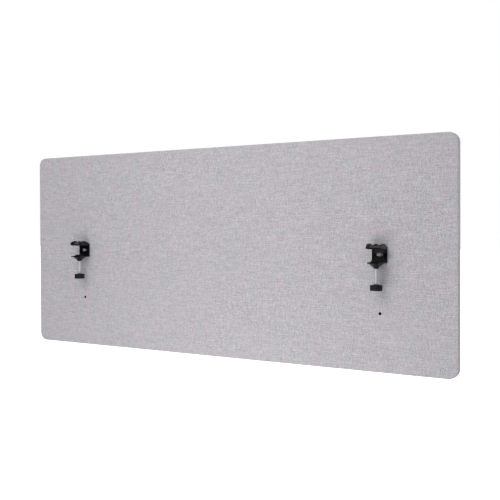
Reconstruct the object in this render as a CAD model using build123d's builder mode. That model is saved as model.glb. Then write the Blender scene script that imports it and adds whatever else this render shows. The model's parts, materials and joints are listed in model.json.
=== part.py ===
"""Clamp-on desk privacy panel: a fabric-covered board carried by two screw clamps.

Millimetres. The origin is the middle of the panel's bottom edge, on its mid-plane. +X runs along the
panel, +Z is up, and the clamps stand out from the front face towards -Y. The clamps are drawn lowered,
ready to be slid onto a desk top.
"""

import os

from build123d import *

# --- Panel ---------------------------------------------------------------
PANEL_LENGTH = 1400.0
PANEL_HEIGHT = 600.0
PANEL_THICKNESS = 20.0
PANEL_CORNER_RADIUS = 25.0
FABRIC_THICKNESS = 1.0
FABRIC_EDGE_RADIUS = 2.0
CORE_THICKNESS = 12.0
FRONT_Y = -PANEL_THICKNESS / 2
CORE_FRONT_Y = -CORE_THICKNESS / 2

# --- Holes for the clamps ------------------------------------------------
CLAMP_FROM_END = 200.0
CLAMP_X = {"left": CLAMP_FROM_END - PANEL_LENGTH / 2, "right": PANEL_LENGTH / 2 - CLAMP_FROM_END}
CLAMP_Z = PANEL_HEIGHT / 2
SPARE_Z = CLAMP_Z - 150.0
COVER_HOLE_RADIUS = 3.6

# --- M6 threaded inserts and fixing screws -------------------------------
INSERT_RADIUS = 5.0
INSERT_LENGTH = 10.0
INSERT_FLANGE_RADIUS = 6.5
INSERT_FLANGE_THICKNESS = 1.0
INSERT_COLLAR_RADIUS = 3.5
M6_CORE_RADIUS = 2.5
M6_SHANK_RADIUS = 3.0
SCREW_HEAD_RADIUS = 4.9
SCREW_HEAD_HEIGHT = 3.0
SCREW_DOME_RADIUS = 2.4
SCREW_SOCKET_ACROSS_FLATS = 4.0
SCREW_SOCKET_DEPTH = 1.8
SCREW_END_DEPTH = 12.0

# --- Bracket, from the front face outwards (d) and from the screw up (z) --
STEEL = 3.0
BRACKET_GAP = 0.2
BRACKET_WIDTH = 41.0
HALF_WIDTH = BRACKET_WIDTH / 2
PLATE_FRONT_D = BRACKET_GAP + STEEL
PLATE_TOP_Z = 18.5
PLATE_BOTTOM_Z = -21.2
PLATE_BEND_RADIUS = 4.0
SLOT_LENGTH = 20.0
SLOT_WIDTH = 6.5

# --- Upper jaw: two arched rims with a web pressed down between them ------
JAW_REACH_D = 44.0
JAW_UNDERSIDE_Z = 15.5
JAW_NOSE_Z = 19.0
JAW_RIDGE_D = 25.0
JAW_RIM_TOP_Z = 29.0
JAW_RIM_WIDTH = 4.5
JAW_BACK_BULGE = (12.0, 25.6)
WEB_NOSE_Z = 17.8
WEB_SHOULDER = (29.0, 25.6)
WEB_RIDGE = (23.0, 26.3)
JAW_WALL = 2.5

# --- Rubber block and rivet in the upper jaw ------------------------------
HOLLOW_FRONT_D = JAW_REACH_D - 3.5
HOLLOW_BACK_D = PLATE_FRONT_D + 2.0
HOLLOW_SHOULDER = (28.0, 22.5)
HOLLOW_RIDGE = (23.0, 23.6)
HOLLOW_BACK_Z = JAW_UNDERSIDE_Z + 1.0
PAD_UNDERSIDE_Z = 14.5
PAD_SIDE_GAP = 0.3
PAD_CORNER_RADIUS = 3.0
RIVET_HEAD_RADIUS = 5.5
RIVET_HEAD_HEIGHT = 2.0
RIVET_HEAD_EDGE = 0.2
RIVET_SHANK_RADIUS = 2.0
RIVET_TAIL_RADIUS = 3.3
RIVET_TAIL_BOTTOM_Z = 16.0
RIVET_TAIL_TOP_Z = 17.0
RIVET_TAIL_CLEARANCE = 0.2
RIVET_SEAT_GAP = 0.15

# --- Lower jaw with a funnel drawn in it round the spindle axis -----------
LOWER_JAW_REACH_D = 46.0
LOWER_JAW_TOP_Z = PLATE_BOTTOM_Z + STEEL
LOWER_JAW_CHAMFER_D = 12.0
LOWER_JAW_CHAMFER_X = 5.0
SPINDLE_D = 25.0
FUNNEL_MOUTH_RADIUS = 18.0
FUNNEL_OUTER_RADIUS = 20.4
FUNNEL_NECK_RADIUS = 6.5
FUNNEL_NECK_TOP_Z = -32.0
FUNNEL_BOTTOM_Z = -34.3
FUNNEL_FLOOR_Z = -29.0
FUNNEL_FLOOR_RADIUS = 7.5
BUSH_RADIUS = 5.3
BUSH_FLANGE_RADIUS = 7.0
BUSH_FLANGE_TOP_Z = -27.5

# --- M8 spindle and pressure pad ------------------------------------------
SPINDLE_RADIUS = 4.0
THREAD_CLEARANCE = 0.05
SPINDLE_TOP_Z = -23.9
SPINDLE_BOTTOM_Z = -87.0
SPINDLE_CHAMFER = 0.6
NECK_RADIUS = 2.4
BALL_RADIUS = 3.4
BALL_Z = -20.1
SEAT_CLEARANCE = 0.3
SEAT_RADIUS = BALL_RADIUS + SEAT_CLEARANCE
SEAT_FLAT_RADIUS = 2.5
PRESSURE_PAD_RADIUS = 13.5
PRESSURE_TOP_Z = -14.3
FACING_THICKNESS = 1.5
CUP_PLATE_THICKNESS = 2.0
CUP_HUB_RADIUS = 6.0
CUP_HUB_BOTTOM_Z = -22.6
CLIP_THICKNESS = 0.9

# --- Knob -----------------------------------------------------------------
KNOB_RADIUS = 16.0
KNOB_TOP_Z = -75.2
KNOB_BOTTOM_Z = -89.7
KNOB_HUB_TOP_Z = -72.4
KNOB_HUB_RADIUS = 5.5
KNOB_HUB_FOOT_RADIUS = 8.5
KNOB_HUB_ROOT = 1.0
KNOB_FLUTES = 12
KNOB_FLUTE_RADIUS = 2.6
KNOB_FLUTE_DEPTH = 0.9
KNOB_EDGE_RADIUS = 1.8
KNOB_INSERT_RADIUS = 5.0
KNOB_INSERT_TOP_Z = -74.0

# How far a cutting shape runs past the surface that it cuts.
OVERRUN = 1.0


def save(piece, name):
    """Label a finished piece and write it as its own file."""
    piece.part.label = name
    export_step(piece.part, f"parts/{name}.step")


def out(d, z):
    """A point of a side profile: d out from the front face, z up from the fixing screw."""
    return (FRONT_Y - d, CLAMP_Z + z)


def side_plane(x):
    """The side profile's plane: its x is the row's Y, its y is the row's Z."""
    return Plane.YZ.offset(x)


def spindle_plane(x):
    """The plane of a revolved profile: its x is the radius, its y is the height above the fixing screw."""
    return Plane(origin=(x, FRONT_Y - SPINDLE_D, CLAMP_Z), x_dir=(1, 0, 0), z_dir=(0, -1, 0))


def spindle_axis(x):
    return Axis((x, FRONT_Y - SPINDLE_D, 0), (0, 0, 1))


def hole_plane(x, y, z):
    """A plane that faces out of the front of the panel, for what goes into its holes."""
    return Plane(origin=(x, y, z), x_dir=(1, 0, 0), z_dir=(0, -1, 0))


def turned(x, outline):
    """A piece turned round the spindle axis from a closed outline of (radius, height) points."""
    with BuildPart() as piece:
        with BuildSketch(spindle_plane(x)):
            with BuildLine():
                Polyline(*outline, close=True)
            make_face()
        revolve(axis=spindle_axis(x))
    return piece


# --- Panel pieces ---------------------------------------------------------
def slab(front_y, back_y, inset):
    """A rounded slab of the panel's outline, drawn in by inset, between two depths."""
    with BuildPart() as piece:
        with BuildSketch(Plane(origin=(0, back_y, CLAMP_Z), x_dir=(1, 0, 0), z_dir=(0, -1, 0))):
            RectangleRounded(
                PANEL_LENGTH - 2 * inset, PANEL_HEIGHT - 2 * inset, PANEL_CORNER_RADIUS - inset
            )
        extrude(amount=back_y - front_y)
    return piece


def clamp_holes():
    """The places of the four holes: two with clamps and two spare."""
    return [(x, z) for x in CLAMP_X.values() for z in (CLAMP_Z, SPARE_Z)]


def cut_cover_holes():
    """Cut the four holes through the part being built, from the front face inwards."""
    for x, z in clamp_holes():
        with BuildSketch(hole_plane(x, FRONT_Y, z)) as hole:
            Circle(COVER_HOLE_RADIUS)
        extrude(hole.sketch, amount=-PANEL_THICKNESS / 2, mode=Mode.SUBTRACT)


def make_core():
    with BuildPart() as core:
        add(slab(CORE_FRONT_Y, -CORE_FRONT_Y, FABRIC_THICKNESS).part)
        for x, z in clamp_holes():
            with BuildSketch(hole_plane(x, CORE_FRONT_Y, z)):
                Circle(INSERT_RADIUS)
            extrude(amount=-INSERT_LENGTH, mode=Mode.SUBTRACT)
            with BuildSketch(hole_plane(x, CORE_FRONT_Y, z)):
                Circle(INSERT_FLANGE_RADIUS)
            extrude(amount=-INSERT_FLANGE_THICKNESS, mode=Mode.SUBTRACT)
    save(core, "core_board")


def make_padding():
    with BuildPart() as front:
        add(slab(FRONT_Y + FABRIC_THICKNESS, CORE_FRONT_Y, FABRIC_THICKNESS).part)
        cut_cover_holes()
    save(front, "front_padding")
    back = slab(-CORE_FRONT_Y, -FRONT_Y - FABRIC_THICKNESS, FABRIC_THICKNESS)
    save(back, "back_padding")


def fabric_half(face_y):
    """Half of the cover: one face and half of the edge, as a shallow tray open at the mid-plane."""
    low, high = sorted((face_y, 0.0))
    inner_y = face_y * (1 - FABRIC_THICKNESS / abs(face_y))
    inner_low, inner_high = sorted((inner_y, 0.0))
    with BuildPart() as cover:
        add(slab(low, high, 0.0).part)
        outer = cover.faces().sort_by(Axis.Y)[0 if face_y < 0 else -1].edges()
        fillet(outer, FABRIC_EDGE_RADIUS)
        add(slab(inner_low, inner_high, FABRIC_THICKNESS).part, mode=Mode.SUBTRACT)
    return cover


def make_fabric():
    with BuildPart() as front:
        add(fabric_half(FRONT_Y).part)
        cut_cover_holes()
    save(front, "front_fabric")
    save(fabric_half(-FRONT_Y), "back_fabric")


def make_insert(name, x, z):
    """Flanged M6 insert with a collar that lines the hole through the padding and the cover."""
    collar_length = CORE_FRONT_Y - FRONT_Y
    with BuildPart() as insert:
        with BuildSketch(hole_plane(x, CORE_FRONT_Y, z)):
            Circle(INSERT_RADIUS)
        extrude(amount=-INSERT_LENGTH)
        with BuildSketch(hole_plane(x, CORE_FRONT_Y, z)):
            Circle(INSERT_FLANGE_RADIUS)
        extrude(amount=-INSERT_FLANGE_THICKNESS)
        with BuildSketch(hole_plane(x, CORE_FRONT_Y, z)):
            Circle(INSERT_COLLAR_RADIUS)
        extrude(amount=collar_length)
        with BuildSketch(hole_plane(x, FRONT_Y, z)):
            Circle(M6_CORE_RADIUS)
        extrude(amount=-(collar_length + INSERT_LENGTH), mode=Mode.SUBTRACT)
    save(insert, name)


def make_fixing_screw(name, x):
    """Button-head screw: full shank through the slot, thread core inside the insert."""
    head_seat_y = FRONT_Y - PLATE_FRONT_D - THREAD_CLEARANCE
    with BuildPart() as screw:
        with BuildSketch(hole_plane(x, head_seat_y, CLAMP_Z)):
            Circle(SCREW_HEAD_RADIUS)
        extrude(amount=SCREW_HEAD_HEIGHT)
        dome_edge = screw.faces().sort_by(Axis.Y)[0].edges()
        fillet(dome_edge, SCREW_DOME_RADIUS)
        with BuildSketch(hole_plane(x, head_seat_y - SCREW_HEAD_HEIGHT, CLAMP_Z)):
            RegularPolygon(SCREW_SOCKET_ACROSS_FLATS / 2, 6, major_radius=False)
        extrude(amount=-SCREW_SOCKET_DEPTH, mode=Mode.SUBTRACT)
        with BuildSketch(hole_plane(x, head_seat_y, CLAMP_Z)):
            Circle(M6_SHANK_RADIUS)
        extrude(amount=-(FRONT_Y - BRACKET_GAP - head_seat_y))
        with BuildSketch(hole_plane(x, FRONT_Y - BRACKET_GAP, CLAMP_Z)):
            Circle(M6_CORE_RADIUS)
        extrude(amount=-(BRACKET_GAP + SCREW_END_DEPTH))
    save(screw, name)


# --- Bracket --------------------------------------------------------------
def add_back_plate(x):
    with BuildSketch(side_plane(x)) as section:
        with BuildLine():
            Polyline(
                out(BRACKET_GAP, PLATE_BOTTOM_Z),
                out(BRACKET_GAP, PLATE_TOP_Z),
                out(PLATE_FRONT_D, PLATE_TOP_Z),
                out(PLATE_FRONT_D, PLATE_BOTTOM_Z),
                close=True,
            )
        make_face()
    extrude(section.sketch, amount=HALF_WIDTH, both=True)


def add_upper_jaw(x):
    """The upper jaw with the arched side profile of its rims, still solid."""
    with BuildSketch(side_plane(x)) as section:
        with BuildLine():
            Line(out(BRACKET_GAP, JAW_UNDERSIDE_Z), out(BRACKET_GAP, PLATE_TOP_Z))
            ThreePointArc(
                out(BRACKET_GAP, PLATE_TOP_Z),
                out(*JAW_BACK_BULGE),
                out(JAW_RIDGE_D, JAW_RIM_TOP_Z),
            )
            EllipticalCenterArc(
                out(JAW_RIDGE_D, JAW_NOSE_Z),
                JAW_REACH_D - JAW_RIDGE_D,
                JAW_RIM_TOP_Z - JAW_NOSE_Z,
                start_angle=90,
                arc_size=90,
            )
            Line(out(JAW_REACH_D, JAW_NOSE_Z), out(JAW_REACH_D, JAW_UNDERSIDE_Z))
            Line(out(JAW_REACH_D, JAW_UNDERSIDE_Z), out(BRACKET_GAP, JAW_UNDERSIDE_Z))
        make_face()
    extrude(section.sketch, amount=HALF_WIDTH, both=True)


def press_web(x):
    """Cut the pan between the rims, which leaves the web: up from the nose, over the ridge, to the plate."""
    above_z = JAW_RIM_TOP_Z + OVERRUN
    with BuildSketch(side_plane(x)) as section:
        with BuildLine():
            Line(out(JAW_REACH_D + OVERRUN, WEB_NOSE_Z), out(*WEB_SHOULDER))
            ThreePointArc(out(*WEB_SHOULDER), out(*WEB_RIDGE), out(PLATE_FRONT_D, PLATE_TOP_Z))
            Polyline(
                out(PLATE_FRONT_D, PLATE_TOP_Z),
                out(PLATE_FRONT_D, above_z),
                out(JAW_REACH_D + OVERRUN, above_z),
                out(JAW_REACH_D + OVERRUN, WEB_NOSE_Z),
            )
        make_face()
    extrude(section.sketch, amount=HALF_WIDTH - JAW_RIM_WIDTH, both=True, mode=Mode.SUBTRACT)


def hollow_outline():
    """Side profile of the hollow under the web, which holds the rubber block."""
    with BuildLine() as outline:
        Line(out(HOLLOW_FRONT_D, JAW_UNDERSIDE_Z), out(*HOLLOW_SHOULDER))
        ThreePointArc(
            out(*HOLLOW_SHOULDER), out(*HOLLOW_RIDGE), out(HOLLOW_BACK_D, HOLLOW_BACK_Z)
        )
        Line(out(HOLLOW_BACK_D, HOLLOW_BACK_Z), out(HOLLOW_BACK_D, JAW_UNDERSIDE_Z))
        Line(out(HOLLOW_BACK_D, JAW_UNDERSIDE_Z), out(HOLLOW_FRONT_D, JAW_UNDERSIDE_Z))
    return outline


def add_hollow(x, mode):
    with BuildSketch(side_plane(x)) as section:
        add(hollow_outline().line)
        make_face()
    extrude(section.sketch, amount=HALF_WIDTH - JAW_WALL, both=True, mode=mode)


def add_lower_jaw(x):
    """Flat lower jaw with its two front corners cut back."""
    back_y = FRONT_Y - BRACKET_GAP
    front_y = FRONT_Y - LOWER_JAW_REACH_D
    corner_y = front_y + LOWER_JAW_CHAMFER_D
    nose_half = HALF_WIDTH - LOWER_JAW_CHAMFER_X
    with BuildSketch(Plane.XY.offset(CLAMP_Z + PLATE_BOTTOM_Z)) as outline:
        with BuildLine():
            Polyline(
                (x - HALF_WIDTH, back_y),
                (x - HALF_WIDTH, corner_y),
                (x - nose_half, front_y),
                (x + nose_half, front_y),
                (x + HALF_WIDTH, corner_y),
                (x + HALF_WIDTH, back_y),
                close=True,
            )
        make_face()
    extrude(outline.sketch, amount=STEEL)


def turn_in_place(x, outline, mode):
    """Add or cut a shape turned round the spindle axis in the part being built."""
    with BuildSketch(spindle_plane(x)) as section:
        with BuildLine():
            Polyline(*outline, close=True)
        make_face()
    revolve(section.sketch, axis=spindle_axis(x), mode=mode)


def draw_funnel(x):
    outside = [
        (0, LOWER_JAW_TOP_Z),
        (FUNNEL_OUTER_RADIUS, LOWER_JAW_TOP_Z),
        (FUNNEL_OUTER_RADIUS, PLATE_BOTTOM_Z),
        (FUNNEL_NECK_RADIUS, FUNNEL_NECK_TOP_Z),
        (FUNNEL_NECK_RADIUS, FUNNEL_BOTTOM_Z),
        (0, FUNNEL_BOTTOM_Z),
    ]
    inside = [
        (0, LOWER_JAW_TOP_Z),
        (FUNNEL_MOUTH_RADIUS, LOWER_JAW_TOP_Z),
        (FUNNEL_FLOOR_RADIUS, FUNNEL_FLOOR_Z),
        (BUSH_RADIUS, FUNNEL_FLOOR_Z),
        (BUSH_RADIUS, FUNNEL_BOTTOM_Z),
        (0, FUNNEL_BOTTOM_Z),
    ]
    turn_in_place(x, outside, Mode.ADD)
    turn_in_place(x, inside, Mode.SUBTRACT)


def upright_plane(x, z):
    """A level plane on the spindle axis, for what is drawn upwards from it."""
    return Plane(origin=(x, FRONT_Y - SPINDLE_D, CLAMP_Z + z))


def make_bracket(name, x):
    with BuildPart() as bracket:
        add_back_plate(x)
        add_upper_jaw(x)
        press_web(x)
        add_hollow(x, Mode.SUBTRACT)
        add_lower_jaw(x)
        foot = bracket.edges().filter_by(Axis.X).group_by(Axis.Z)[0].sort_by(Axis.Y)[-1]
        fillet(foot, PLATE_BEND_RADIUS)
        draw_funnel(x)
        with BuildSketch(hole_plane(x, FRONT_Y, CLAMP_Z)):
            SlotOverall(SLOT_LENGTH, SLOT_WIDTH)
        extrude(amount=PLATE_FRONT_D + OVERRUN, mode=Mode.SUBTRACT)
        with BuildSketch(upright_plane(x, JAW_UNDERSIDE_Z)):
            Circle(RIVET_SHANK_RADIUS)
        extrude(amount=JAW_RIM_TOP_Z - JAW_UNDERSIDE_Z, mode=Mode.SUBTRACT)
    save(bracket, name)


def make_jaw_pad(name, x):
    """Rubber block that fills the jaw's hollow and stands proud of its rim, bored for the rivet."""
    length = HOLLOW_FRONT_D - HOLLOW_BACK_D
    middle_d = (HOLLOW_FRONT_D + HOLLOW_BACK_D) / 2
    width = BRACKET_WIDTH - 2 * (JAW_WALL + PAD_SIDE_GAP)
    with BuildPart() as pad:
        add_hollow(x, Mode.ADD)
        foot_plane = Plane(origin=(x, FRONT_Y - middle_d, CLAMP_Z + PAD_UNDERSIDE_Z))
        with BuildSketch(foot_plane):
            RectangleRounded(width, length, PAD_CORNER_RADIUS)
        extrude(amount=JAW_UNDERSIDE_Z - PAD_UNDERSIDE_Z)
        with BuildSketch(upright_plane(x, PAD_UNDERSIDE_Z)):
            Circle(RIVET_SHANK_RADIUS)
        extrude(amount=JAW_RIM_TOP_Z - PAD_UNDERSIDE_Z, mode=Mode.SUBTRACT)
        with BuildSketch(upright_plane(x, PAD_UNDERSIDE_Z)):
            Circle(RIVET_TAIL_RADIUS + RIVET_TAIL_CLEARANCE)
        extrude(amount=RIVET_TAIL_TOP_Z - PAD_UNDERSIDE_Z, mode=Mode.SUBTRACT)
    save(pad, name)


def make_rivet(name, x):
    """Domed rivet through the web and the rubber block."""
    seat_z = WEB_RIDGE[1] + RIVET_SEAT_GAP
    top_z = seat_z + RIVET_HEAD_HEIGHT
    rim_z = seat_z + RIVET_HEAD_EDGE
    crown_radius = (RIVET_HEAD_RADIUS**2 + (top_z - rim_z) ** 2) / (2 * (top_z - rim_z))
    half_way = RIVET_HEAD_RADIUS / 2
    half_way_z = top_z - crown_radius + (crown_radius**2 - half_way**2) ** 0.5
    with BuildPart() as rivet:
        with BuildSketch(spindle_plane(x)):
            with BuildLine():
                ThreePointArc((0, top_z), (half_way, half_way_z), (RIVET_HEAD_RADIUS, rim_z))
                Polyline(
                    (RIVET_HEAD_RADIUS, rim_z),
                    (RIVET_HEAD_RADIUS, seat_z),
                    (RIVET_SHANK_RADIUS, seat_z),
                    (RIVET_SHANK_RADIUS, RIVET_TAIL_TOP_Z),
                    (RIVET_TAIL_RADIUS, RIVET_TAIL_TOP_Z),
                    (RIVET_TAIL_RADIUS, RIVET_TAIL_BOTTOM_Z),
                    (0, RIVET_TAIL_BOTTOM_Z),
                    (0, top_z),
                )
            make_face()
        revolve(axis=spindle_axis(x))
    save(rivet, name)


def make_bush(name, x):
    bore = SPINDLE_RADIUS + THREAD_CLEARANCE
    outline = [
        (bore, FUNNEL_BOTTOM_Z),
        (BUSH_RADIUS, FUNNEL_BOTTOM_Z),
        (BUSH_RADIUS, FUNNEL_FLOOR_Z),
        (BUSH_FLANGE_RADIUS, FUNNEL_FLOOR_Z),
        (BUSH_FLANGE_RADIUS, BUSH_FLANGE_TOP_Z),
        (bore, BUSH_FLANGE_TOP_Z),
    ]
    save(turned(x, outline), name)


# --- Pressure pad ---------------------------------------------------------
def make_pressure_pad(side, x):
    facing_z = PRESSURE_TOP_Z - FACING_THICKNESS
    plate_z = facing_z - CUP_PLATE_THICKNESS
    facing = turned(
        x,
        [
            (0, facing_z),
            (PRESSURE_PAD_RADIUS, facing_z),
            (PRESSURE_PAD_RADIUS, PRESSURE_TOP_Z),
            (0, PRESSURE_TOP_Z),
        ],
    )
    save(facing, f"{side}_pressure_facing")
    cup = turned(
        x,
        [
            (0, BALL_Z + SEAT_RADIUS),
            (SEAT_FLAT_RADIUS, BALL_Z + SEAT_RADIUS),
            (SEAT_RADIUS, BALL_Z + SEAT_RADIUS / 2),
            (SEAT_RADIUS, CUP_HUB_BOTTOM_Z),
            (CUP_HUB_RADIUS, CUP_HUB_BOTTOM_Z),
            (CUP_HUB_RADIUS, plate_z),
            (PRESSURE_PAD_RADIUS, plate_z),
            (PRESSURE_PAD_RADIUS, facing_z),
            (0, facing_z),
        ],
    )
    save(cup, f"{side}_pressure_cup")
    clip = turned(
        x,
        [
            (NECK_RADIUS + SEAT_CLEARANCE, CUP_HUB_BOTTOM_Z - CLIP_THICKNESS),
            (CUP_HUB_RADIUS, CUP_HUB_BOTTOM_Z - CLIP_THICKNESS),
            (CUP_HUB_RADIUS, CUP_HUB_BOTTOM_Z),
            (NECK_RADIUS + SEAT_CLEARANCE, CUP_HUB_BOTTOM_Z),
        ],
    )
    save(clip, f"{side}_retaining_clip")


# --- Spindle and knob -----------------------------------------------------
def make_spindle(name, x):
    """Threaded rod with a ball end, drawn as a plain cylinder of the thread's outer radius."""
    neck_meets_ball = BALL_Z - (BALL_RADIUS**2 - NECK_RADIUS**2) ** 0.5
    with BuildPart() as spindle:
        with BuildSketch(spindle_plane(x)):
            with BuildLine():
                ball = ThreePointArc(
                    (0, BALL_Z + BALL_RADIUS),
                    (BALL_RADIUS, BALL_Z),
                    (NECK_RADIUS, neck_meets_ball),
                )
                Polyline(
                    ball @ 1,
                    (NECK_RADIUS, SPINDLE_TOP_Z),
                    (SPINDLE_RADIUS - SPINDLE_CHAMFER, SPINDLE_TOP_Z),
                    (SPINDLE_RADIUS, SPINDLE_TOP_Z - SPINDLE_CHAMFER),
                    (SPINDLE_RADIUS, SPINDLE_BOTTOM_Z),
                    (0, SPINDLE_BOTTOM_Z),
                    ball @ 0,
                )
            make_face()
        revolve(axis=spindle_axis(x))
    save(spindle, name)


def make_knob(name, x):
    """Fluted round knob with a short conical hub, bored for its brass insert."""
    hub_root_z = KNOB_TOP_Z - KNOB_HUB_ROOT
    hub = [
        (0, hub_root_z),
        (KNOB_HUB_FOOT_RADIUS, hub_root_z),
        (KNOB_HUB_FOOT_RADIUS, KNOB_TOP_Z),
        (KNOB_HUB_RADIUS, KNOB_HUB_TOP_Z),
        (0, KNOB_HUB_TOP_Z),
    ]
    bore = [
        (0, SPINDLE_BOTTOM_Z),
        (KNOB_INSERT_RADIUS, SPINDLE_BOTTOM_Z),
        (KNOB_INSERT_RADIUS, KNOB_INSERT_TOP_Z),
        (SPINDLE_RADIUS, KNOB_INSERT_TOP_Z),
        (SPINDLE_RADIUS, KNOB_HUB_TOP_Z),
        (0, KNOB_HUB_TOP_Z),
    ]
    flute_centre = KNOB_RADIUS + KNOB_FLUTE_RADIUS - KNOB_FLUTE_DEPTH
    with BuildPart() as knob:
        with BuildSketch(upright_plane(x, KNOB_BOTTOM_Z)):
            Circle(KNOB_RADIUS)
            with PolarLocations(flute_centre, KNOB_FLUTES):
                Circle(KNOB_FLUTE_RADIUS, mode=Mode.SUBTRACT)
        extrude(amount=KNOB_TOP_Z - KNOB_BOTTOM_Z)
        fillet(knob.faces().filter_by(Axis.Z).edges(), KNOB_EDGE_RADIUS)
        turn_in_place(x, hub, Mode.ADD)
        turn_in_place(x, bore, Mode.SUBTRACT)
    save(knob, name)


def make_knob_insert(name, x):
    outline = [
        (SPINDLE_RADIUS, SPINDLE_BOTTOM_Z),
        (KNOB_INSERT_RADIUS, SPINDLE_BOTTOM_Z),
        (KNOB_INSERT_RADIUS, KNOB_INSERT_TOP_Z),
        (SPINDLE_RADIUS, KNOB_INSERT_TOP_Z),
    ]
    save(turned(x, outline), name)


os.makedirs("parts", exist_ok=True)
make_core()
make_padding()
make_fabric()
for side, clamp_x in CLAMP_X.items():
    make_insert(f"{side}_fixing_insert", clamp_x, CLAMP_Z)
    make_insert(f"{side}_spare_insert", clamp_x, SPARE_Z)
    make_fixing_screw(f"{side}_fixing_screw", clamp_x)
    make_bracket(f"{side}_bracket", clamp_x)
    make_jaw_pad(f"{side}_jaw_pad", clamp_x)
    make_rivet(f"{side}_pad_rivet", clamp_x)
    make_bush(f"{side}_thread_bush", clamp_x)
    make_pressure_pad(side, clamp_x)
    make_spindle(f"{side}_spindle", clamp_x)
    make_knob(f"{side}_knob", clamp_x)
    make_knob_insert(f"{side}_knob_insert", clamp_x)
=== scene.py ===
"""Looks of the clamp-on desk privacy panel: cloth covers, black clamps, screws, light and camera.

Metres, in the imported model's frame: +X along the panel, +Z up, the clamps towards -Y. Everything is
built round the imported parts, whose boxes give the places and sizes used here.
"""

import json
import math

import bmesh
import bpy
from mathutils import Matrix, Vector, noise


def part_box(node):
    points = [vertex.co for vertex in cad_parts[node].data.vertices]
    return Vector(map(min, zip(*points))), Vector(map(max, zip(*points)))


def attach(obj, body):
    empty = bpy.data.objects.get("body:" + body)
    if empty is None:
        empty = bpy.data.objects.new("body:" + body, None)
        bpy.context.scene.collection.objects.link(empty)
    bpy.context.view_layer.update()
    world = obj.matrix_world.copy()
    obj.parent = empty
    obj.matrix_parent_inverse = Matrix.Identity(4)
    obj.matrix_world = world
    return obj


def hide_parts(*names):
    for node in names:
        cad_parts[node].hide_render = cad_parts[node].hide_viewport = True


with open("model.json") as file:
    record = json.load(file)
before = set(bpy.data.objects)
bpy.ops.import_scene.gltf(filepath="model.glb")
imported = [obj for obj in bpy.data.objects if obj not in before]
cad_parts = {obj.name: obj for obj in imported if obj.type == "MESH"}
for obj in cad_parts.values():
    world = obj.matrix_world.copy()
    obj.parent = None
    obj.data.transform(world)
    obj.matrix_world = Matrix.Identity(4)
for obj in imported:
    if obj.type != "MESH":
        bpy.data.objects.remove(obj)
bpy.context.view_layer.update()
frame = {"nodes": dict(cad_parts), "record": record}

MM = 0.001
SIDES = ("left", "right")

# --- Panel, from its packed cover -----------------------------------------
COVER_LOW, COVER_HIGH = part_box("front_fabric")
HALF_LENGTH = COVER_HIGH.x
PANEL_HEIGHT = COVER_HIGH.z
PANEL_MIDDLE_Z = PANEL_HEIGHT / 2
FACE_DEPTH = -COVER_LOW.y
CORNER_RADIUS = 25 * MM
EDGE_RADIUS = 2.6 * MM
CLOTH_THICKNESS = 0.8 * MM
SEAM_GAP = 0.15 * MM
HOLE_RADIUS = 4.1 * MM
INSERT_COLLAR_RADIUS = 3.5 * MM
INSERT_FLARE_DEPTH = 0.5 * MM
YARN_PITCH = 0.9 * MM
YARN_WOBBLE = 0.9 * MM
CELL = 10 * MM
CORNER_CELLS = 8

# --- How the padded face swells and dips ------------------------------------
LONG_WAVE = 160 * MM
LONG_WAVE_HEIGHT = 0.22 * MM
SHORT_WAVE = 45 * MM
SHORT_WAVE_HEIGHT = 0.07 * MM
DIP_DEPTH = 0.35 * MM
EDGE_DIP_REACH = 7 * MM
PLATE_DIP_REACH = 9 * MM
LOWEST_DIP = -0.2 * MM
HIGHEST_SWELL = 0.15 * MM

# --- Clamps -----------------------------------------------------------------
PLATE_HALF_WIDTH = 20.5 * MM
PLATE_TOP = 18.5 * MM
PLATE_FOOT = -21.2 * MM
THREAD_PITCH = 1.25 * MM
THREAD_OUTER = 3.97 * MM
THREAD_ROOT = 3.35 * MM
THREAD_RUNOUT = 0.8 * MM
THREAD_PROFILE = [(THREAD_ROOT, 0.0), (THREAD_OUTER, 0.40), (THREAD_OUTER, 0.55), (THREAD_ROOT, 0.92)]
BALL_RADIUS = 3.4 * MM
BALL_NECK_RADIUS = 2.4 * MM
SHOULDER_BELOW_TOP = 7.2 * MM
KNOB_LOBES = 12
KNOB_STEPS_PER_LOBE = 14
KNOB_HUB_RISE = 2.8 * MM
KNOB_HUB_DROP = 0.9 * MM
KNOB_CLEARANCE = 0.2 * MM
KNOB_EDGE = 1.8 * MM
KNOB_FLUTE = 1.15 * MM
FLUTE_SHARPNESS = 2.2
ON_AXIS = 1e-7

# --- Light and floor --------------------------------------------------------
EVEN_LIGHT = 0.61
REFLECTED_LIGHT = 0.04
SEEN_LIGHT = 1.0
WHITE = (1.0, 1.0, 1.0, 1.0)
FLOOR_Z = -0.9
FLOOR_HALF_SIZE = 40.0

# --- Camera ----------------------------------------------------------------
CAMERA_PLACE = (1.240, -1.8765, 0.3720)
CAMERA_TURN = 31.061
CAMERA_TILT_DOWN = 0.786
CAMERA_ROLL = -0.21
SENSOR_WIDTH = 36.0
FOCAL_LENGTH = 56.27
SHIFT_UP = -0.025


# ---------------------------------------------------------------------------
# Mesh helpers
# ---------------------------------------------------------------------------
def mesh_object(name, points, faces, smooth_angle=40.0):
    """A linked mesh object from points and faces, with edges sharper than smooth_angle kept sharp."""
    mesh = bpy.data.meshes.new(name)
    mesh.from_pydata([tuple(p) for p in points], [], faces)
    mesh.validate()
    piece = bpy.data.objects.new(name, mesh)
    bpy.context.scene.collection.objects.link(piece)
    shade(piece, smooth_angle)
    return piece


def shade(piece, smooth_angle):
    """Smooth shading, with edges sharper than smooth_angle kept sharp."""
    mesh = piece.data
    for polygon in mesh.polygons:
        polygon.use_smooth = True
    mesh.set_sharp_from_angle(angle=math.radians(smooth_angle))


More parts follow.
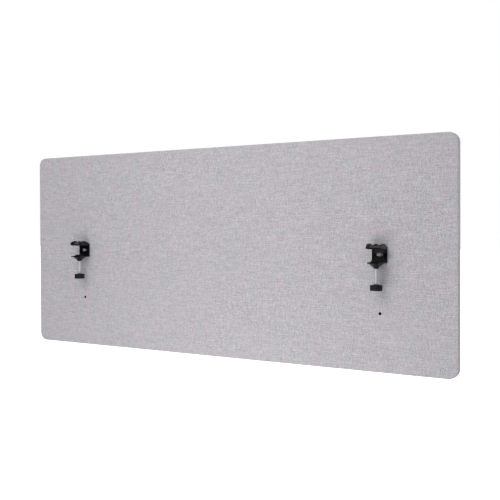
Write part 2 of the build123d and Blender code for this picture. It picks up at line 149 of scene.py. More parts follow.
def from_bmesh(name, bm, smooth_angle=40.0):
    """A linked object from a bmesh, its faces turned outward."""
    bmesh.ops.recalc_face_normals(bm, faces=bm.faces)
    mesh = bpy.data.meshes.new(name)
    bm.to_mesh(mesh)
    bm.free()
    piece = bpy.data.objects.new(name, mesh)
    bpy.context.scene.collection.objects.link(piece)
    shade(piece, smooth_angle)
    return piece


def stitch(bm, lower, upper, steps):
    """Faces between two rings, either of which may be a single point on the axis."""
    for i in range(steps):
        j = (i + 1) % steps
        corners = [
            lower[i % len(lower)],
            lower[j % len(lower)],
            upper[j % len(upper)],
            upper[i % len(upper)],
        ]
        unique = list(dict.fromkeys(corners))
        if len(unique) > 2:
            bm.faces.new(unique)


def ring_of_points(bm, centre, height, steps, reach_at):
    """A ring of points round the vertical line through centre; reach_at gives the radius at an angle."""
    ring = []
    for i in range(steps):
        angle = 2 * math.pi * i / steps
        reach = reach_at(angle)
        place = (centre.x + reach * math.cos(angle), centre.y + reach * math.sin(angle), height)
        ring.append(bm.verts.new(place))
    return ring


def turned(name, profile, centre, steps):
    """A solid of revolution about the vertical line through centre, from (radius, height) points."""
    bm = bmesh.new()
    rings = []
    for radius, height in profile:
        if radius < ON_AXIS:
            rings.append([bm.verts.new((centre.x, centre.y, height))])
        else:
            rings.append(ring_of_points(bm, centre, height, steps, lambda angle: radius))
    for lower, upper in zip(rings, rings[1:]):
        stitch(bm, lower, upper, steps)
    return from_bmesh(name, bm)


def arc(centre_r, centre_z, radius, start, end, steps):
    """Points of a circular arc in a (radius, height) profile, angles in degrees from +radius."""
    points = []
    for i in range(steps + 1):
        angle = math.radians(start + (end - start) * i / steps)
        points.append((centre_r + radius * math.cos(angle), centre_z + radius * math.sin(angle)))
    return points


def softened(node, width, segments, name):
    """A copy of a CAD node with its flat faces whole and its sharp edges rounded by width."""
    bm = bmesh.new()
    bm.from_mesh(frame["nodes"][node].data)
    bmesh.ops.remove_doubles(bm, verts=bm.verts, dist=1e-6)
    bmesh.ops.dissolve_limit(
        bm, angle_limit=math.radians(0.6), verts=bm.verts, edges=bm.edges, delimit={"NORMAL"}
    )
    sharp = [
        e for e in bm.edges if len(e.link_faces) == 2 and e.calc_face_angle() > math.radians(28)
    ]
    bmesh.ops.bevel(
        bm,
        geom=sharp,
        offset=width,
        segments=segments,
        profile=0.5,
        affect="EDGES",
        clamp_overlap=True,
    )
    bmesh.ops.triangulate(bm, faces=[f for f in bm.faces if len(f.verts) > 4])
    return from_bmesh(name, bm, smooth_angle=35.0)


# ---------------------------------------------------------------------------
# Materials
# ---------------------------------------------------------------------------
class Nodes:
    """Short names for building a shader's node tree."""

    def __init__(self, name, roughness, metallic=0.0):
        self.material = bpy.data.materials.new(name)
        self.material.use_nodes = True
        self.tree = self.material.node_tree
        self.shader = self.tree.nodes["Principled BSDF"]
        self.shader.inputs["Roughness"].default_value = roughness
        self.shader.inputs["Metallic"].default_value = metallic
        coordinates = self.tree.nodes.new("ShaderNodeTexCoord")
        self.place = coordinates.outputs["Object"]

    def link(self, source, target):
        self.tree.links.new(source, target)

    def math(self, operation, first, second=None, third=None):
        node = self.tree.nodes.new("ShaderNodeMath")
        node.operation = operation
        for socket, value in zip(node.inputs, (first, second, third)):
            if value is None:
                continue
            if isinstance(value, (int, float)):
                socket.default_value = value
            else:
                self.link(value, socket)
        return node.outputs[0]

    def noise(self, vector, scale, detail=2.0, roughness=0.5):
        node = self.tree.nodes.new("ShaderNodeTexNoise")
        node.inputs["Scale"].default_value = scale
        node.inputs["Detail"].default_value = detail
        node.inputs["Roughness"].default_value = roughness
        self.link(vector, node.inputs["Vector"])
        return node.outputs["Fac"]

    def stretched(self, vector, scale):
        """The vector scaled unevenly, for streaks."""
        node = self.tree.nodes.new("ShaderNodeVectorMath")
        node.operation = "MULTIPLY"
        node.inputs[1].default_value = scale
        self.link(vector, node.inputs[0])
        return node.outputs[0]

    def ramp(self, factor, stops):
        node = self.tree.nodes.new("ShaderNodeValToRGB")
        elements = node.color_ramp.elements
        while len(elements) < len(stops):
            elements.new(0.5)
        for element, (position, colour) in zip(elements, stops):
            element.position = position
            element.color = (*colour, 1.0)
        self.link(factor, node.inputs["Fac"])
        return node.outputs["Color"]

    def tinted(self, share, colour, tint):
        """A colour multiplied by a tint, by the given share."""
        node = self.tree.nodes.new("ShaderNodeMix")
        node.data_type = "RGBA"
        node.blend_type = "MULTIPLY"
        node.inputs[0].default_value = share
        self.link(colour, node.inputs[6])
        self.link(tint, node.inputs[7])
        return node.outputs[2]

    def blend(self, factor, first, second):
        """A number between first and second."""
        node = self.tree.nodes.new("ShaderNodeMix")
        self.link(factor, node.inputs[0])
        self.link(first, node.inputs[2])
        self.link(second, node.inputs[3])
        return node.outputs[0]

    def bump(self, height, strength, distance, normal=None):
        node = self.tree.nodes.new("ShaderNodeBump")
        node.inputs["Strength"].default_value = strength
        node.inputs["Distance"].default_value = distance
        self.link(height, node.inputs["Height"])
        if normal is not None:
            self.link(normal, node.inputs["Normal"])
        return node.outputs["Normal"]

    def finish(self, colour, normal=None, roughness=None):
        self.link(colour, self.shader.inputs["Base Color"])
        if normal is not None:
            self.link(normal, self.shader.inputs["Normal"])
        if roughness is not None:
            self.link(roughness, self.shader.inputs["Roughness"])
        return self.material


def weave_places(n):
    """Position across and along the cloth in yarns, wandering a little as a real weave does."""
    wobble = n.tree.nodes.new("ShaderNodeTexNoise")
    wobble.inputs["Scale"].default_value = 60.0
    wobble.inputs["Detail"].default_value = 2.0
    n.link(n.place, wobble.inputs["Vector"])
    shift = n.tree.nodes.new("ShaderNodeVectorMath")
    shift.operation = "MULTIPLY_ADD"
    shift.inputs[1].default_value = (YARN_WOBBLE, YARN_WOBBLE, YARN_WOBBLE)
    n.link(wobble.outputs["Color"], shift.inputs[0])
    n.link(n.place, shift.inputs[2])
    split = n.tree.nodes.new("ShaderNodeSeparateXYZ")
    n.link(shift.outputs[0], split.inputs[0])
    depth = split.outputs["Y"]
    across = n.math("DIVIDE", n.math("ADD", split.outputs["X"], depth), YARN_PITCH)
    along = n.math("DIVIDE", n.math("ADD", split.outputs["Z"], depth), YARN_PITCH)
    return across, along


def weave(n):
    """Height of the plain weave, and which of the two yarns is on top at each crossing."""
    across, along = weave_places(n)
    round_across = n.math("SINE", n.math("MULTIPLY", n.math("FRACT", across), math.pi))
    round_along = n.math("SINE", n.math("MULTIPLY", n.math("FRACT", along), math.pi))
    crossing = n.math("ADD", n.math("FLOOR", across), n.math("FLOOR", along))
    parity = n.math("FLOORED_MODULO", crossing, 2.0)
    warp_height = n.math("MULTIPLY", round_across, n.math("MULTIPLY_ADD", round_along, 0.5, 0.5))
    weft_height = n.math("MULTIPLY", round_along, n.math("MULTIPLY_ADD", round_across, 0.5, 0.5))
    return n.blend(parity, warp_height, weft_height), parity


def yarn_shade(n, parity):
    """Shade of the yarn on top: long slubs along it, a jump from one yarn to the next."""
    warp_shade = n.noise(n.stretched(n.place, (420.0, 420.0, 60.0)), 1.0, detail=1.5)
    weft_shade = n.noise(n.stretched(n.place, (30.0, 30.0, 500.0)), 1.0, detail=1.5)
    return n.blend(parity, warp_shade, weft_shade)


def cover_cloth():
    """Heathered plain weave: two sets of yarns, each with its own tone, thick places and streaks; the
    hollows between yarns hold painted shade.
    """
    n = Nodes("heather_cloth", roughness=0.95)
    n.shader.inputs["Sheen Weight"].default_value = 0.12
    n.shader.inputs["Sheen Roughness"].default_value = 0.6
    n.shader.inputs["Specular IOR Level"].default_value = 0.15
    height, parity = weave(n)
    light = (0.546, 0.523, 0.556)
    mid = (0.458, 0.439, 0.466)
    dark = (0.370, 0.355, 0.376)
    base = n.ramp(yarn_shade(n, parity), [(0.30, dark), (0.5, mid), (0.70, light)])
    tint = n.noise(n.place, 26.0, detail=5.0, roughness=0.68)
    pink = n.ramp(tint, [(0.36, (0.963, 1.010, 1.004)), (0.64, (1.033, 0.980, 0.998))])
    base = n.tinted(1.0, base, pink)
    cloud = n.noise(n.place, 520.0, detail=1.0, roughness=0.5)
    clouds = n.ramp(cloud, [(0.25, (0.65, 0.65, 0.65)), (0.75, (1.35, 1.35, 1.35))])
    base = n.tinted(1.0, base, clouds)
    # Painted shade: the colour is darkened in the hollows between yarns, where shade falls.
    painted_hollow_shade = n.ramp(height, [(0.0, (0.62, 0.62, 0.62)), (0.5, (1.0, 1.0, 1.0))])
    base = n.tinted(0.8, base, painted_hollow_shade)
    fuzz = n.noise(n.place, 5200.0, detail=2.0)
    normal = n.bump(height, 0.55, 0.25 * MM)
    normal = n.bump(fuzz, 0.25, 0.1 * MM, normal)
    return n.finish(base, normal)


def powder_coat():
    """Satin black powder coat with a fine orange-peel surface."""
    n = Nodes("black_powder_coat", roughness=0.26)
    n.shader.inputs["Specular IOR Level"].default_value = 0.5
    peel = n.noise(n.place, 1300.0, detail=2.0, roughness=0.4)
    grit = n.noise(n.place, 5200.0, detail=1.0)
    mottled = n.noise(n.place, 160.0, detail=3.0)
    colour = n.ramp(mottled, [(0.35, (0.0010, 0.0010, 0.0022)), (0.65, (0.0019, 0.0019, 0.0036))])
    rough = n.ramp(grit, [(0.3, (0.22, 0.22, 0.22)), (0.7, (0.30, 0.30, 0.30))])
    normal = n.bump(peel, 0.12, 0.08 * MM)
    normal = n.bump(grit, 0.12, 0.04 * MM, normal)
    return n.finish(colour, normal, rough)


def zinc_plate():
    """Bright zinc plate: pale blue-grey metal, uneven gloss and faint turning lines."""
    n = Nodes("bright_zinc", roughness=0.5, metallic=0.6)
    lines = n.noise(n.stretched(n.place, (300.0, 300.0, 5200.0)), 1.0, detail=2.0)
    spots = n.noise(n.place, 700.0, detail=4.0, roughness=0.7)
    colour = n.ramp(spots, [(0.3, (0.72, 0.75, 0.81)), (0.7, (0.84, 0.87, 0.93))])
    rough = n.ramp(spots, [(0.3, (0.44, 0.44, 0.44)), (0.7, (0.58, 0.58, 0.58))])
    normal = n.bump(lines, 0.12, 0.03 * MM)
    return n.finish(colour, normal, rough)


def black_oxide():
    """Blackened steel with a faint brown cast where it is handled."""
    n = Nodes("black_oxide_steel", roughness=0.4)
    n.shader.inputs["Specular IOR Level"].default_value = 0.3
    patches = n.noise(n.place, 420.0, detail=4.0, roughness=0.65)
    colour = n.ramp(patches, [(0.35, (0.003, 0.003, 0.0033)), (0.7, (0.0062, 0.0058, 0.0055))])
    rough = n.ramp(patches, [(0.3, (0.38, 0.38, 0.38)), (0.7, (0.55, 0.55, 0.55))])
    normal = n.bump(n.noise(n.place, 2600.0), 0.15, 0.05 * MM)
    return n.finish(colour, normal, rough)


def black_rubber():
    """Matt moulded rubber with a fine grain and a little bloom."""
    n = Nodes("moulded_rubber", roughness=0.85)
    n.shader.inputs["Specular IOR Level"].default_value = 0.25
    bloom = n.noise(n.place, 240.0, detail=4.0, roughness=0.7)
    grain = n.noise(n.place, 4200.0, detail=2.0)
    colour = n.ramp(bloom, [(0.35, (0.011, 0.011, 0.011)), (0.7, (0.022, 0.022, 0.023))])
    return n.finish(colour, n.bump(grain, 0.35, 0.08 * MM))


def knob_plastic():
    """Glass-filled black nylon with a spark-eroded grain."""
    n = Nodes("black_nylon", roughness=0.55)
    n.shader.inputs["Specular IOR Level"].default_value = 0.4
    grain = n.noise(n.place, 3000.0, detail=3.0, roughness=0.6)
    flow = n.noise(n.place, 120.0, detail=3.0)
    colour = n.ramp(flow, [(0.35, (0.0045, 0.0046, 0.0085)), (0.65, (0.0075, 0.0077, 0.0135))])
    rough = n.ramp(grain, [(0.3, (0.46, 0.46, 0.46)), (0.7, (0.62, 0.62, 0.62))])
    return n.finish(colour, n.bump(grain, 0.35, 0.08 * MM), rough)


def turned_brass():
    """Plain turned brass with fine tool lines."""
    n = Nodes("turned_brass", roughness=0.3, metallic=1.0)
    lines = n.noise(n.stretched(n.place, (300.0, 300.0, 6000.0)), 1.0, detail=2.0)
    colour = n.ramp(lines, [(0.3, (0.62, 0.44, 0.20)), (0.7, (0.78, 0.60, 0.32))])
    return n.finish(colour, n.bump(lines, 0.2, 0.04 * MM))


def fibreboard():
    """Bare brown fibreboard."""
    n = Nodes("fibreboard", roughness=0.85)
    fibres = n.noise(n.place, 900.0, detail=5.0, roughness=0.75)
    colour = n.ramp(fibres, [(0.3, (0.27, 0.17, 0.09)), (0.7, (0.42, 0.29, 0.17))])
    return n.finish(colour, n.bump(fibres, 0.3, 0.1 * MM))


def needled_felt():
    """Pale needled felt."""
    n = Nodes("needled_felt", roughness=1.0)
    fibres = n.noise(n.place, 1600.0, detail=5.0, roughness=0.8)
    colour = n.ramp(fibres, [(0.3, (0.45, 0.44, 0.43)), (0.7, (0.68, 0.67, 0.66))])
    return n.finish(colour, n.bump(fibres, 0.6, 0.3 * MM))


MATERIALS = {
    "cover_fabric": cover_cloth(),
    "padding_foam": needled_felt(),
    "core_wood": fibreboard(),
    "powder_coat": powder_coat(),
    "black_steel": black_oxide(),
    "zinc_steel": zinc_plate(),
    "black_rubber": black_rubber(),
    "knob_plastic": knob_plastic(),
    "brass_insert": turned_brass(),
}


def paint(piece, slot):
    """The piece takes the one material of a slot."""
    piece.data.materials.clear()
    piece.data.materials.append(MATERIALS[slot])


def paint_cad_nodes():
    """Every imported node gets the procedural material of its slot."""
    for subpart in frame["record"]["subparts"]:
        paint(frame["nodes"][subpart["node"]], subpart["material_slot"])


def dress(piece, slot, body, *nodes):
    """Finish a new piece: its material, the body that it rides on, and the CAD nodes it stands for."""
    paint(piece, slot)
    if nodes:
        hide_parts(*nodes)
    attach(piece, body)
    return piece


# ---------------------------------------------------------------------------
# Cloth covers
# ---------------------------------------------------------------------------
def grid_lines(half):
    """Cell lines from -half to half: close together over the two corners, wider between them."""
    corner = CORNER_RADIUS - EDGE_RADIUS
    inner = half - corner
    steps = round(2 * inner / CELL)
    lines = [-half + corner * i / CORNER_CELLS for i in range(CORNER_CELLS)]
    lines += [-inner + 2 * inner * i / steps for i in range(steps)]
    lines += [inner + corner * i / CORNER_CELLS for i in range(CORNER_CELLS + 1)]
    return lines


def round_corner(x, z, half_x, half_z):
    """A grid point moved into the round-cornered outline, and its outward direction if on the rim."""
    corner = CORNER_RADIUS - EDGE_RADIUS
    s = (abs(x) - (half_x - corner)) / corner
    t = (abs(z) - (half_z - corner)) / corner
    if s > 0 and t > 0:
        new_s = s * math.sqrt(1 - t * t / 2)
        new_t = t * math.sqrt(1 - s * s / 2)
        length = max(math.hypot(new_s, new_t), 1e-9)
        outward = (math.copysign(new_s / length, x), math.copysign(new_t / length, z))
        return (
            math.copysign(half_x - corner + corner * new_s, x),
            math.copysign(half_z - corner + corner * new_t, z),
            outward,
        )
    if s >= t:
        return x, z, (math.copysign(1.0, x), 0.0)
    return x, z, (0.0, math.copysign(1.0, z))


def middles(part):
    """(x, z) of the middle of a part on each side."""
    places = []
    for side in SIDES:
        low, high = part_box(f"{side}_{part}")
        places.append(((low.x + high.x) / 2, (low.z + high.z) / 2))
    return places


CLAMP_PLACES = middles("fixing_screw")
SPARE_PLACES = middles("spare_insert")


def pillow(x, z, has_clamps):
    """How far the padded face stands proud at a point: slow waves, a soft edge, dips at the plates."""
    seed = 3.7 if has_clamps else 11.2
    wave = noise.noise(Vector((x / LONG_WAVE, z / LONG_WAVE, seed))) * LONG_WAVE_HEIGHT
    wave += noise.noise(Vector((x / SHORT_WAVE, z / SHORT_WAVE, seed + 5))) * SHORT_WAVE_HEIGHT
    to_edge = min(HALF_LENGTH - abs(x), PANEL_HEIGHT / 2 - abs(z - PANEL_MIDDLE_Z))
    wave -= DIP_DEPTH * math.exp(-to_edge / EDGE_DIP_REACH)
    if has_clamps:
        for cx, cz in CLAMP_PLACES:
            out_x = max(0.0, abs(x - cx) - PLATE_HALF_WIDTH)
            out_z = max(0.0, z - cz - PLATE_TOP, cz + PLATE_FOOT - z)
            wave -= DIP_DEPTH * math.exp(-math.hypot(out_x, out_z) / PLATE_DIP_REACH)
    return max(LOWEST_DIP, min(wave, HIGHEST_SWELL))


def padded_face(facing, has_clamps):
    """The face's points, quads and outward directions, and the indices of its rim in order."""
    half_x = HALF_LENGTH - EDGE_RADIUS
    half_z = PANEL_HEIGHT / 2 - EDGE_RADIUS
    xs = grid_lines(half_x)
    zs = grid_lines(half_z)
    points, faces, outwards = [], [], []
    for z in zs:
        for x in xs:
            px, pz, outward = round_corner(x, z, half_x, half_z)
            y = FACE_DEPTH + pillow(px, pz + PANEL_MIDDLE_Z, has_clamps)
            points.append((px, facing * y, pz + PANEL_MIDDLE_Z))
            outwards.append(outward)
    wide, tall = len(xs), len(zs)
    for j in range(tall - 1):
        for i in range(wide - 1):
            a = j * wide + i
            faces.append((a, a + 1, a + 1 + wide, a + wide))
    return points, faces, outwards, grid_rim(wide, tall)


def grid_rim(wide, tall):
    """Indices round the outside of a grid, once round from its first point."""
    rim = list(range(wide))
    rim += [j * wide + wide - 1 for j in range(1, tall)]
    rim += [(tall - 1) * wide + i for i in range(wide - 2, -1, -1)]
    rim += [j * wide for j in range(tall - 2, 0, -1)]
    return rim


def edge_point(rim_point, outward, k, facing, outset, depth, pucker):
    """The rim's k-th point moved out and back round the edge, gathered more at the corners."""
    x, y, z = rim_point
    ox, oz = outward
    at_corner = min(abs(ox), abs(oz)) > 0.02
    gather = pucker * (2.2 if at_corner else 1.0)
    ripple = gather * noise.noise(Vector((k * 1.7, 0.3, 4.1 + facing)))
    out = outset + ripple
    flat_y = FACE_DEPTH + (abs(y) - FACE_DEPTH) * max(0.0, 1 - depth / EDGE_RADIUS)
    return (x + ox * out, facing * (flat_y - depth), z + oz * out)


def cover(name, facing, has_clamps):
    """One cloth cover: a padded face, a rolled edge, half of the panel's side and the seam's turning."""
    points, faces, outwards, rim = padded_face(facing, has_clamps)
    previous = rim
    for outset, depth, pucker in edge_profile():
        ring = []
        for k, index in enumerate(rim):
            ring.append(len(points))
            points.append(edge_point(points[index], outwards[index], k, facing, outset, depth, pucker))
        for k in range(len(rim)):
            m = (k + 1) % len(rim)
            faces.append((previous[m], previous[k], ring[k], ring[m]))
        previous = ring
    if facing > 0:
        faces = [tuple(reversed(f)) for f in faces]
    piece = mesh_object(name, points, faces, smooth_angle=60.0)
    thicken(piece)
    return piece


def edge_profile():
    """(outset, depth, pucker) of each ring from the face's rim round the edge to the seam."""
    rings = []
    for i in range(1, 6):
        angle = math.radians(90 * i / 5)
        rings.append((EDGE_RADIUS * math.sin(angle), EDGE_RADIUS * (1 - math.cos(angle)), 0.05 * MM))
    side_end = FACE_DEPTH - 1.2 * MM
    for i in range(1, 4):
        depth = EDGE_RADIUS + (side_end - EDGE_RADIUS) * i / 3
        rings.append((EDGE_RADIUS, depth, 0.12 * MM))
    rings.append((EDGE_RADIUS - 0.10 * MM, FACE_DEPTH - 0.75 * MM, 0.10 * MM))
    rings.append((EDGE_RADIUS - 0.40 * MM, FACE_DEPTH - 0.35 * MM, 0.05 * MM))
    rings.append((EDGE_RADIUS - 0.90 * MM, FACE_DEPTH - SEAM_GAP, 0.0))
    return rings


def thicken(piece):
    """The cloth gets its thickness, inward from its outer face."""
    solid = piece.modifiers.new("cloth", "SOLIDIFY")
    solid.thickness = CLOTH_THICKNESS
    solid.offset = -1.0
    apply_modifiers(piece)


def apply_modifiers(piece):
    """The piece's modifiers become its mesh."""
    bpy.context.view_layer.update()
    evaluated = piece.evaluated_get(bpy.context.evaluated_depsgraph_get())
    mesh = bpy.data.meshes.new_from_object(evaluated)
    old = piece.data
    piece.modifiers.clear()
    piece.data = mesh
    bpy.data.meshes.remove(old)
    mesh.name = piece.name


def punch(piece, places, radius, low_y, high_y):
    """Round holes through a piece, along Y."""
    bm = bmesh.new()
    for x, z in places:
        turn = Matrix.Translation((x, (low_y + high_y) / 2, z)) @ Matrix.Rotation(math.pi / 2, 4, "X")
        bmesh.ops.create_cone(
            bm,
            cap_ends=True,
            segments=40,
            radius1=radius,
            radius2=radius,
            depth=high_y - low_y,
            matrix=turn,
        )
    cutter = from_bmesh("cutter", bm)
    hole = piece.modifiers.new("holes", "BOOLEAN")
    hole.operation = "DIFFERENCE"
    hole.solver = "EXACT"
    hole.object = cutter
    apply_modifiers(piece)
    bpy.data.objects.remove(cutter)
    shade(piece, 60.0)


def make_covers():
    """Both cloth covers; the front one has holes for the screws and the spare inserts."""
    front = cover("front_cover", -1, True)
    holes = CLAMP_PLACES + SPARE_PLACES
    punch(front, holes, HOLE_RADIUS, -FACE_DEPTH - 2 * MM, -FACE_DEPTH + 3 * MM)
    dress(front, "cover_fabric", "panel", "front_fabric")
    back = cover("back_cover", 1, False)
    dress(back, "cover_fabric", "panel", "back_fabric")


# ---------------------------------------------------------------------------
# Clamps
# ---------------------------------------------------------------------------
def middle(node):
    """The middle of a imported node's box."""
    low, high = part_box(node)
    return (low + high) / 2


def thread_points(centre, bottom, top, steps, total):
    """Points of the thread's outline carried up the helix, fading out at both ends."""
    points = []
    for i in range(total + 1):
        angle = 2 * math.pi * i / steps
        rise = bottom - THREAD_PITCH + THREAD_PITCH * i / steps
        for radius, share in THREAD_PROFILE:
            height = rise + THREAD_PITCH * share
            near_end = min(height - bottom, top - height)
            fade = min(1.0, max(0.0, near_end / THREAD_RUNOUT))
            reach = THREAD_ROOT + (radius - THREAD_ROOT) * fade
            height = min(max(height, bottom), top)
            points.append((centre.x + reach * math.cos(angle), centre.y + reach * math.sin(angle), height))
    return points


def thread_faces(count, steps, total):
    """Faces along the helix, and between each turn and the next."""
    faces = []
    for i in range(total):
        for k in range(count - 1):
            a = i * count + k
            faces.append((a, a + count, a + count + 1, a + 1))
        if i + steps < total:
            a = i * count + count - 1
            b = (i + steps) * count
            faces.append((a, a + count, b + count, b))
    return faces


def threaded_rod(name, centre, bottom, top):
    """A rod with a real right-hand thread, flat at both ends."""
    steps = 28
    total = (math.ceil((top - bottom) / THREAD_PITCH) + 2) * steps
    points = thread_points(centre, bottom, top, steps, total)
    faces = thread_faces(len(THREAD_PROFILE), steps, total)
    bm = bmesh.new()
    verts = [bm.verts.new(p) for p in points]
    for f in faces:
        bm.faces.new([verts[k] for k in f])
    bmesh.ops.remove_doubles(bm, verts=bm.verts, dist=2e-6)
    bmesh.ops.dissolve_degenerate(bm, edges=bm.edges, dist=1e-6)
    loose = [v for v in bm.verts if not v.link_faces]
    bmesh.ops.delete(bm, geom=loose, context="VERTS")
    bmesh.ops.holes_fill(bm, edges=bm.edges, sides=0)
    return from_bmesh(name, bm, smooth_angle=50.0)


def knob_profile(low_z, high_z, hub_z, radius):
    """(radius, height, flute depth) down the knob's outline, from the middle of its foot to its bore."""
    edge = KNOB_EDGE
    flute = KNOB_FLUTE
    points = [(0.0, low_z + 0.9 * MM, 0.0), (6.5 * MM, low_z + 0.9 * MM, 0.0)]
    points += [(7.3 * MM, low_z + 0.25 * MM, 0.0), (8.2 * MM, low_z, 0.0)]
    points.append((radius - edge - 1.6 * MM, low_z, 0.0))
    for i in range(6):
        angle = math.radians(-90 + 90 * i / 5)
        r = radius - edge + edge * math.cos(angle)
        z = low_z + edge + edge * math.sin(angle)
        points.append((r, z, flute * (0.25 + 0.75 * i / 5)))
    for share in (0.2, 0.4, 0.6, 0.8):
        points.append((radius, low_z + edge + (high_z - low_z - 2 * edge) * share, flute))
    for i in range(6):
        angle = math.radians(90 * i / 5)
        r = radius - edge + edge * math.cos(angle)
        z = high_z - edge + edge * math.sin(angle)
        points.append((r, z, flute * (1 - 0.75 * i / 5)))
    points += [(radius - edge - 1.6 * MM, high_z + 0.05 * MM, 0.0), (8.1 * MM, high_z + 0.1 * MM, 0.0)]
    points += [(7.2 * MM, high_z + 0.4 * MM, 0.0), (6.2 * MM, hub_z - 0.5 * MM, 0.0)]
    points += [(5.8 * MM, hub_z - 0.15 * MM, 0.0), (5.3 * MM, hub_z, 0.0), (4.1 * MM, hub_z, 0.0)]
    points += [(4.1 * MM, hub_z - 2.0 * MM, 0.0), (0.0, hub_z - 2.0 * MM, 0.0)]
    return points


def fluted(radius, flute, angle):
    """The knob's radius at an angle: full between the flutes, less by the flute's depth in them."""
    lobe = 0.5 - 0.5 * math.cos(KNOB_LOBES * angle)
    return radius - flute * lobe**FLUTE_SHARPNESS


def make_knob(side):
    """The fluted grip, a little inside the CAD knob, with its hub and bore."""
    node = f"{side}_knob"
    low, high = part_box(node)
    centre = middle(f"{side}_spindle")
    radius = high.x - centre.x - KNOB_CLEARANCE
    steps = KNOB_LOBES * KNOB_STEPS_PER_LOBE
    bm = bmesh.new()
    rings = []
    for r, z, flute in knob_profile(low.z, high.z - KNOB_HUB_RISE, high.z - KNOB_HUB_DROP, radius):
        if r < ON_AXIS:
            rings.append([bm.verts.new((centre.x, centre.y, z))])
        else:
            rings.append(ring_of_points(bm, centre, z, steps, lambda angle: fluted(r, flute, angle)))
    for lower, upper in zip(rings, rings[1:]):
        stitch(bm, lower, upper, steps)
    piece = from_bmesh(f"{side}_grip_knob", bm, 50.0)
    dress(piece, "knob_plastic", f"{side}_screw", node)


def make_spindle(side):
    """The threaded rod and, on top of it, the neck and ball that turn in the pressure cup."""
    node = f"{side}_spindle"
    low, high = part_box(node)
    centre = middle(node)
    shoulder = high.z - SHOULDER_BELOW_TOP
    rod = threaded_rod(f"{side}_threaded_rod", centre, low.z, shoulder)
    dress(rod, "zinc_steel", f"{side}_screw", node)
    ball_z = high.z - BALL_RADIUS
    neck_foot = shoulder - 0.5 * MM
    profile = [(0.0, neck_foot), (BALL_NECK_RADIUS, neck_foot), (BALL_NECK_RADIUS, ball_z - 2.41 * MM)]
    profile += arc(0.0, ball_z, BALL_RADIUS, -42, 90, 12)
    profile[-1] = (0.0, high.z)
    ball = turned(f"{side}_ball_end", profile, centre, steps=40)
    dress(ball, "zinc_steel", f"{side}_screw")


def facing_profile(low_z, top, radius):
    """(radius, height) round the rubber facing: rounded rims and three ring-shaped grooves on top."""
    groove = 0.5 * MM
    profile = [(0.0, low_z), (radius - 0.3 * MM, low_z)]
    profile += arc(radius - 0.6 * MM, low_z + 0.7 * MM, 0.6 * MM, -40, 0, 3)
    profile += arc(radius - 0.7 * MM, top - 0.7 * MM, 0.7 * MM, 0, 90, 5)
    for ring in (10.6 * MM, 7.6 * MM, 4.6 * MM):
        profile += [
            (ring + 0.75 * MM, top),
            (ring + 0.45 * MM, top - groove),
            (ring - 0.45 * MM, top - groove),
            (ring - 0.75 * MM, top),
        ]
    profile.append((0.0, top))
    return profile


def make_pressure_pad(side):
    """The grooved rubber facing and the steel cup under it."""
    node = f"{side}_pressure_facing"
    low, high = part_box(node)
    centre = middle(node)
    profile = facing_profile(low.z, high.z, high.x - centre.x)
    facing = turned(f"{side}_rubber_facing", profile, centre, steps=80)
    dress(facing, "black_rubber", f"{side}_pressure_pad", node)
    cup = softened(f"{side}_pressure_cup", 0.35 * MM, 3, f"{side}_swivel_cup")
    dress(cup, "black_steel", f"{side}_pressure_pad", f"{side}_pressure_cup")


def make_bracket(side):
    """The pressed bracket, its rubber block and the rivet that holds the block."""
    body = f"{side}_clamp"
    shell = softened(f"{side}_bracket", 0.55 * MM, 3, f"{side}_pressed_bracket")
    dress(shell, "powder_coat", body, f"{side}_bracket")
    pad = softened(f"{side}_jaw_pad", 0.4 * MM, 2, f"{side}_rubber_block")
    dress(pad, "black_rubber", body, f"{side}_jaw_pad")
    rivet = softened(f"{side}_pad_rivet", 0.2 * MM, 2, f"{side}_domed_rivet")
    dress(rivet, "powder_coat", body, f"{side}_pad_rivet")


def make_spare_insert(side):
    """The spare insert, its collar flared at the face to hold the rim of the hole in the cloth."""
    node = f"{side}_spare_insert"
    face_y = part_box(node)[0].y
    centre = middle(node)
    insert = softened(node, 0.2 * MM, 2, f"{side}_flared_insert")
    flare = HOLE_RADIUS / INSERT_COLLAR_RADIUS
    for vertex in insert.data.vertices:
        if vertex.co.y < face_y + INSERT_FLARE_DEPTH:
            vertex.co.x = centre.x + (vertex.co.x - centre.x) * flare
            vertex.co.z = centre.z + (vertex.co.z - centre.z) * flare
    dress(insert, "black_steel", "panel", node)


def make_clamps():
    """All visible parts of both clamps, and the insert and screw that hold each."""
    for side in SIDES:
        make_bracket(side)
        make_pressure_pad(side)
        make_spindle(side)
        make_knob(side)
        make_spare_insert(side)
        screw = softened(f"{side}_fixing_screw", 0.2 * MM, 2, f"{side}_button_screw")
        dress(screw, "zinc_steel", "panel", f"{side}_fixing_screw")


# ---------------------------------------------------------------------------
# Studio
# ---------------------------------------------------------------------------
def aim(thing, target):
    """Turn a lamp to face a point."""
    direction = Vector(target) - thing.location
    thing.rotation_euler = direction.to_track_quat("-Z", "Y").to_euler()


def softbox(name, place, target, size, power):
    """A rectangular area lamp; size in metres, power in watts."""
    data = bpy.data.lights.new(name, "AREA")
    data.shape = "RECTANGLE"
    data.size, data.size_y = size
    data.energy = power
    lamp = bpy.data.objects.new(name, data)
    lamp.location = place
    bpy.context.scene.collection.objects.link(lamp)
    aim(lamp, target)


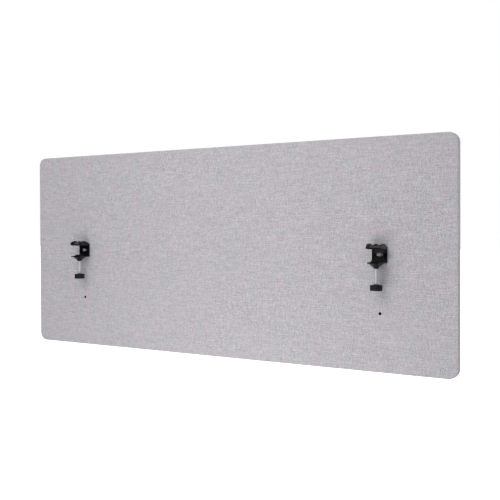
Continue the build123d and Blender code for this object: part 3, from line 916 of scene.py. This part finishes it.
def make_world():
    """White to the camera, an even soft light on the object, and dim in its reflections."""
    world = bpy.data.worlds.new("studio")
    bpy.context.scene.world = world
    world.use_nodes = True
    tree = world.node_tree
    path = tree.nodes.new("ShaderNodeLightPath")
    even = tree.nodes["Background"]
    even.inputs["Color"].default_value = WHITE
    even.inputs["Strength"].default_value = EVEN_LIGHT
    shown = even.outputs[0]
    for ray, strength in (("Is Glossy Ray", REFLECTED_LIGHT), ("Is Camera Ray", SEEN_LIGHT)):
        surround = tree.nodes.new("ShaderNodeBackground")
        surround.inputs["Color"].default_value = WHITE
        surround.inputs["Strength"].default_value = strength
        choose = tree.nodes.new("ShaderNodeMixShader")
        tree.links.new(path.outputs[ray], choose.inputs[0])
        tree.links.new(shown, choose.inputs[1])
        tree.links.new(surround.outputs[0], choose.inputs[2])
        shown = choose.outputs[0]
    tree.links.new(shown, tree.nodes["World Output"].inputs["Surface"])


def make_floor():
    """A plain pale floor, well below the panel, that glows white and so shows no shadow."""
    n = Nodes("studio_floor", roughness=0.9)
    n.shader.inputs["Emission Color"].default_value = WHITE
    n.shader.inputs["Emission Strength"].default_value = 1.0
    speckle = n.noise(n.place, 30.0)
    colour = n.ramp(speckle, [(0.3, (0.93, 0.93, 0.93)), (0.7, (0.95, 0.95, 0.95))])
    half = FLOOR_HALF_SIZE
    corners = ((-half, -half), (half, -half), (half, half), (-half, half))
    floor = mesh_object("studio_floor", [(x, y, FLOOR_Z) for x, y in corners], [(0, 1, 2, 3)])
    floor.data.materials.append(n.finish(colour))
    floor.visible_diffuse = False
    floor.visible_glossy = False


def make_studio():
    """One large key lamp, low and high fills in front of the clamps, and lamps beside and behind."""
    make_world()
    make_floor()
    centre = (0.0, 0.0, PANEL_MIDDLE_Z)
    clamps = (0.05, 0.0, 0.3)
    softbox("key_box", (-0.8, -3.0, 3.2), centre, (3.0, 3.0), 50.0)
    softbox("upper_fill", (0.12, -0.92, 1.08), clamps, (1.0, 0.9), 3.5)
    softbox("lower_fill", (0.15, -0.92, -0.48), clamps, (1.0, 0.9), 6.5)
    softbox("side_fill", (2.4, 0.7, 0.6), centre, (1.0, 1.0), 8.0)
    softbox("back_fill", (0.6, 2.2, 1.3), centre, (1.6, 1.2), 22.0)


def make_camera():
    """The camera at the photograph's viewing angle."""
    data = bpy.data.cameras.new("camera")
    data.sensor_width = SENSOR_WIDTH
    data.lens = FOCAL_LENGTH
    data.shift_y = SHIFT_UP
    camera = bpy.data.objects.new("camera", data)
    bpy.context.scene.collection.objects.link(camera)
    camera.location = CAMERA_PLACE
    turn = Matrix.Rotation(math.radians(CAMERA_TURN), 3, "Z")
    tilt = Matrix.Rotation(math.radians(90 - CAMERA_TILT_DOWN), 3, "X")
    roll = Matrix.Rotation(math.radians(CAMERA_ROLL), 3, "Z")
    camera.rotation_euler = (turn @ tilt @ roll).to_euler()
    bpy.context.scene.camera = camera


bpy.context.scene.view_settings.view_transform = "Standard"
make_camera()
make_studio()
paint_cad_nodes()
make_covers()
make_clamps()
